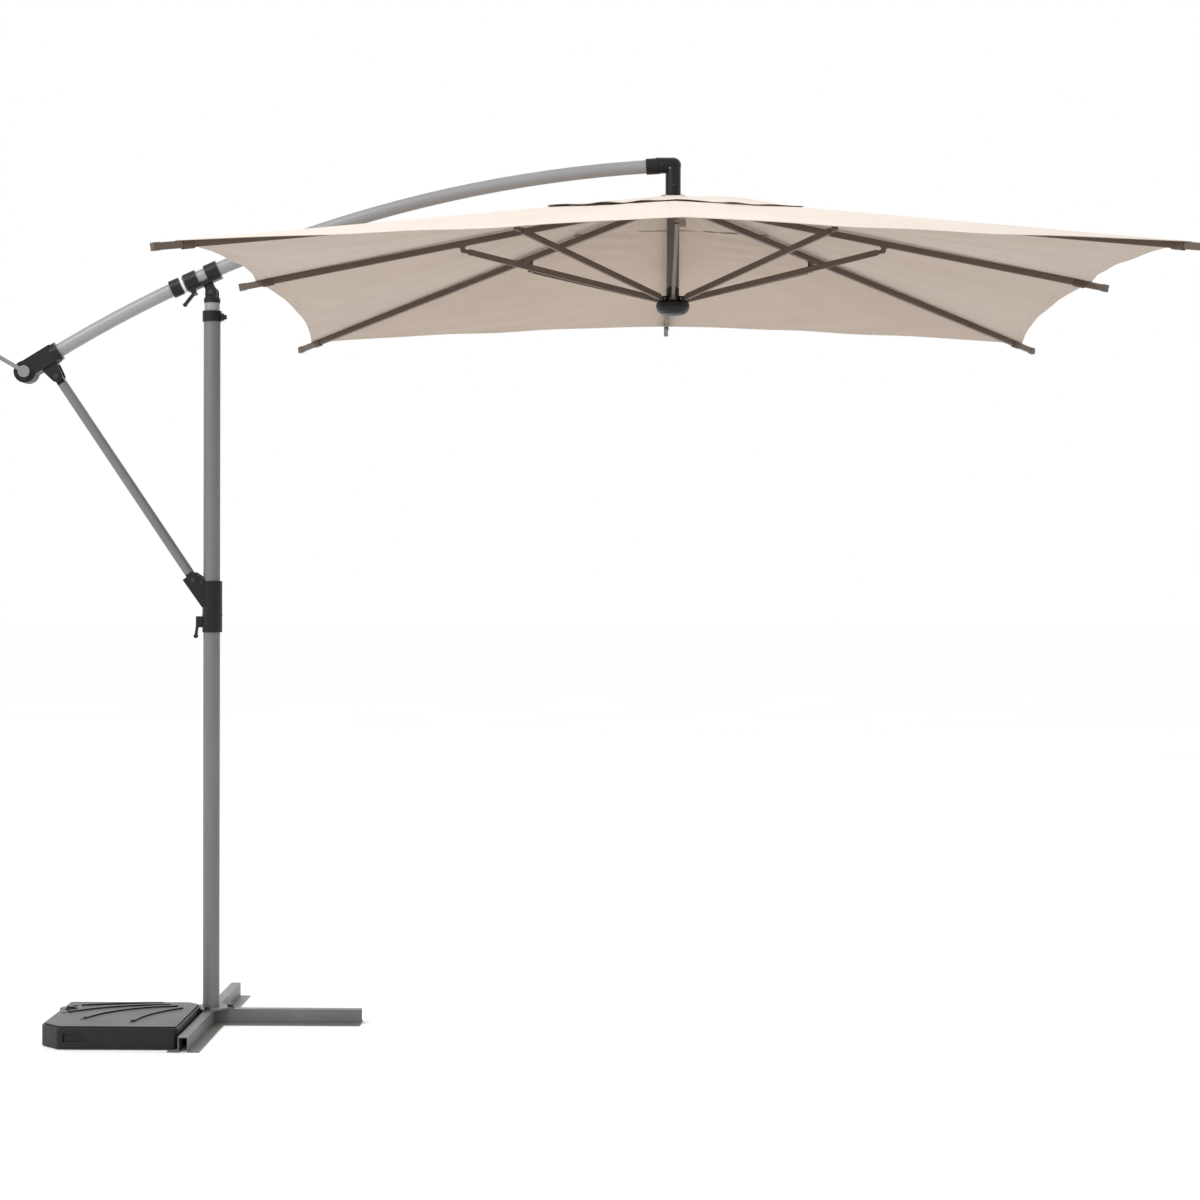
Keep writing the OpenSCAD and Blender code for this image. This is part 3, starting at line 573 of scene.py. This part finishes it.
def screw(name, r, skin, sides=36):
    """A button head with a rounded rim, a domed top and a six-sided socket sunk in it."""
    h = r * 0.55
    dome = [(r * 0.96, -h * 0.3), (r, 0.0), (r * 0.98, h * 0.35), (r * 0.86, h * 0.7)]
    dome += [(r * 0.62, h * 0.94), (r * 0.5, h), (r * 0.46, h * 0.97)]
    bm = bmesh.new()
    rings = [ring(bm, far, z, sides) for far, z in dome]
    rings += [ring(bm, r * 0.42, z, sides, corners=6) for z in (h * 0.97, h * 0.37)]
    for band, (one, two) in enumerate(zip(rings, rings[1:])):
        for i in range(sides):
            j = (i + 1) % sides
            face = bm.faces.new((one[i], one[j], two[j], two[i]))
            face.smooth = band < len(dome) - 1
    bm.faces.new(list(reversed(rings[0])))
    bm.faces.new(rings[-1])
    return from_bmesh(name, bm, skin)


def seat(obj, node, body, start, way):
    """Sets a black steel fitting on the first surface of a CAD node that a line from start meets."""
    found, spot, normal, _ = frame["nodes"][node].ray_cast(Vector(start), Vector(way).normalized())
    if not found:
        raise RuntimeError(f"{obj.name} finds no surface of {node}")
    obj.matrix_world = Matrix.Translation(spot) @ normal.to_track_quat("Z", "Y").to_matrix().to_4x4()
    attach(obj, body)


def screws(skin):
    """Screw heads on the moulded fittings: node, body, shares of its box, radius and sides."""
    both, front = (1, -1), (1,)
    plan = (
        ("elbow", "boom", 0.775, 0.26, 0.0042, both),
        ("elbow", "boom", 0.45, 0.79, 0.0042, both),
        ("neck", "head", 0.5, 0.3, 0.0036, both),
        ("sleeve", "sleeve", 0.5, 0.82, 0.004, both),
        ("housing_cover", "boom", 0.5, 0.1, 0.0028, front),
        ("housing_cover", "boom", 0.15, 0.7, 0.0028, front),
        ("housing_cover", "boom", 0.85, 0.7, 0.0028, front),
    )
    for i, (node, body, across, up, r, ways) in enumerate(plan):
        low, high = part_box(node)
        x = low.x + (high.x - low.x) * across
        z = low.z + (high.z - low.z) * up
        for way in ways:
            name = f"screw_{node}_{i}_{'front' if way > 0 else 'back'}"
            seat(screw(name, r, skin), node, body, (x, -0.4 * way, z), (0, way, 0))


def hem_clips(skin):
    """A folded webbing loop under each rib, just inside the hem, that holds the canopy to it."""
    for n in range(RIBS):
        r = RIB_REACH * stretch_of(n) - LOOP_INSET
        turn = heading(n)
        out = Vector((math.cos(turn), math.sin(turn), -math.tan(slope(n)))).normalized()
        side = Vector((-math.sin(turn), math.cos(turn), 0))
        up = side.cross(out) * -1
        spot = AXIS + Vector((r * math.cos(turn), r * math.sin(turn), over_rib(n, r)))
        obj = strap(f"hem_loop_{n + 1}", spot, out, side, up, skin)
        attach(obj, f"rib_{n + 1}")


def strap(name, spot, out, side, up, skin):
    """A rounded U of doubled webbing round a rib, from under the canopy down below the tube."""
    path = [(0.0072, -0.0006), (0.0078, -0.003), (0.0078, -0.010)]
    path += [(0.0078, -0.018), (0.0068, -0.0202), (0.0045, -0.0210)]
    path += [(-x, z) for x, z in reversed(path)]
    bm = bmesh.new()
    rows = []
    for along, pull in ((-0.016, 0.6), (-0.014, 1.0), (0.0, 1.02), (0.014, 1.0), (0.016, 0.6)):
        row = []
        for thick in (0.0, 0.0011 * pull):
            line = [(x * (1 + thick * 30), z - thick) for x, z in path]
            row.append([bm.verts.new(spot + out * along + side * x + up * z) for x, z in line])
        rows.append(row[0] + list(reversed(row[1])))
    size = len(rows[0])
    for one, two in zip(rows, rows[1:]):
        for i in range(size):
            j = (i + 1) % size
            bm.faces.new((one[i], one[j], two[j], two[i]))
    for row in (rows[0], rows[-1]):
        half = size // 2
        for i in range(half - 1):
            bm.faces.new((row[i], row[i + 1], row[size - 2 - i], row[size - 1 - i]))
    for f in bm.faces:
        f.smooth = True
    return from_bmesh(name, bm, skin)


# ---------------------------------------------------------------- stage
def camera():
    """Stands in front of the parasol a little right of its middle, level with the sleeve's top."""
    yaw, pitch, roll = CAMERA_TURN
    level = math.cos(pitch)
    ahead = Vector((-math.sin(yaw) * level, math.cos(yaw) * level, math.sin(pitch)))
    side = Vector((math.cos(yaw), math.sin(yaw), 0))
    top = side.cross(ahead)
    right = side * math.cos(roll) + top * math.sin(roll)
    up = top * math.cos(roll) - side * math.sin(roll)
    data = bpy.data.cameras.new("camera")
    data.sensor_width = 36
    data.lens = CAMERA_LENS
    cam = place("camera", data)
    turn = Matrix((right, up, -ahead)).transposed().to_4x4()
    cam.matrix_world = Matrix.Translation(CAMERA_PLACE) @ turn
    bpy.context.scene.camera = cam


def lamp(name, spot, aim, size, power):
    """A round soft lamp that faces its aim."""
    data = bpy.data.lights.new(name, "AREA")
    data.shape = "DISK"
    data.size = size
    data.energy = power
    obj = place(name, data)
    way = Vector(aim) - Vector(spot)
    obj.matrix_world = Matrix.Translation(spot) @ way.to_track_quat("-Z", "Y").to_matrix().to_4x4()


def stage():
    """A wide pale floor, a white surround and two large soft lamps."""
    bm = bmesh.new()
    bmesh.ops.create_circle(bm, cap_ends=True, radius=FLOOR_R, segments=96)
    floor = from_bmesh("stage_floor", bm, stage_paper())
    world = bpy.data.worlds.new("surround")
    world.use_nodes = True
    surround = world.node_tree.nodes["Background"]
    surround.inputs["Color"].default_value = (1, 1, 1, 1)
    surround.inputs["Strength"].default_value = 1.0
    scene = bpy.context.scene
    scene.world = world
    scene.view_settings.view_transform = "Standard"
    lamp("key", (-3.5, -4.5, 6.0), (1.0, 0, 1.6), 4.5, 260)
    lamp("back", (1.0, 5.0, 5.5), (1.0, 0, 1.8), 4.0, 90)


camera()
stage()
SKINS = finishes()
dress(SKINS)
# Painted shade: the underside is the same cloth as the top, given a darker colour for the shade beneath the
# canopy
SHADED_UNDERSIDE = woven("canopy_underside_painted_shade", "A89787")
WEBBING = woven("webbing", "54463C")
CLOTH_SKINS = [SKINS["canopy_fabric"], SHADED_UNDERSIDE]
MAIN = Cloth(RIB_REACH, curve=0.035, inner=OPENING, depth=0.014, lift=0.0002, flare=0.0, puff=0.0)
VENT = Cloth(VENT_REACH, curve=0.02, inner=CLOTH_HOLE, depth=0.002, lift=0.0026, flare=0.004, puff=0.012)
spread_cloth(MAIN, "canopy_panel", "canopy", CLOTH_SKINS, (14, 44))
spread_cloth(VENT, "vent_panel", "vent_cap", CLOTH_SKINS, (12, 16))
screws(SKINS["black_steel"])
hem_clips(WEBBING)
